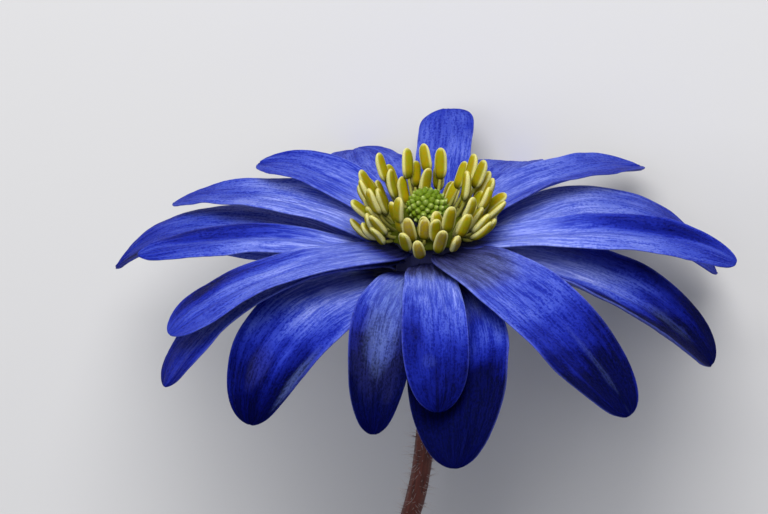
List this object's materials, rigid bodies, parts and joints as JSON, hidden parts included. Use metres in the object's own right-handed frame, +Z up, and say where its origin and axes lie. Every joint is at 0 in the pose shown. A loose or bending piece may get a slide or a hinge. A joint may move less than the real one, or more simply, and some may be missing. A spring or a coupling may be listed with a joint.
{
  "type": "anemone flower",
  "caption": "Cut anemone flower lying on a surface: long blue-violet petals in overlapping layers round a crown of yellow stamens and a green dome, on a thin brown stem.",
  "frame": {"origin": "bottom centre of the bounding box of the lying flower, on the surface that it lies on", "axes": "+Z up from that surface, +Y from the cut end of the stem towards the face of the bloom, +X to the right when looking along +Y"},
  "size_m": [0.0476, 0.068, 0.0357],
  "materials": {
    "tepal": "soft matt petal with fine streaks along it",
    "stem": "reddish-brown skin with soft hairs",
    "stamen": "matt pollen yellow",
    "carpel": "matt green with pale tips"
  },
  "bodies": {
    "root": {"stem": "stem", "tepal_01": "tepal", "tepal_02": "tepal", "tepal_03": "tepal", "tepal_04": "tepal", "tepal_05": "tepal", "tepal_06": "tepal", "tepal_07": "tepal", "tepal_08": "tepal", "tepal_09": "tepal", "tepal_10": "tepal", "tepal_11": "tepal", "tepal_12": "tepal", "tepal_13": "tepal", "tepal_14": "tepal", "tepal_15": "tepal", "tepal_16": "tepal", "tepal_17": "tepal", "tepal_18": "tepal", "stamens": "stamen", "carpel_head": "carpel"}
  },
  "joints": []
}
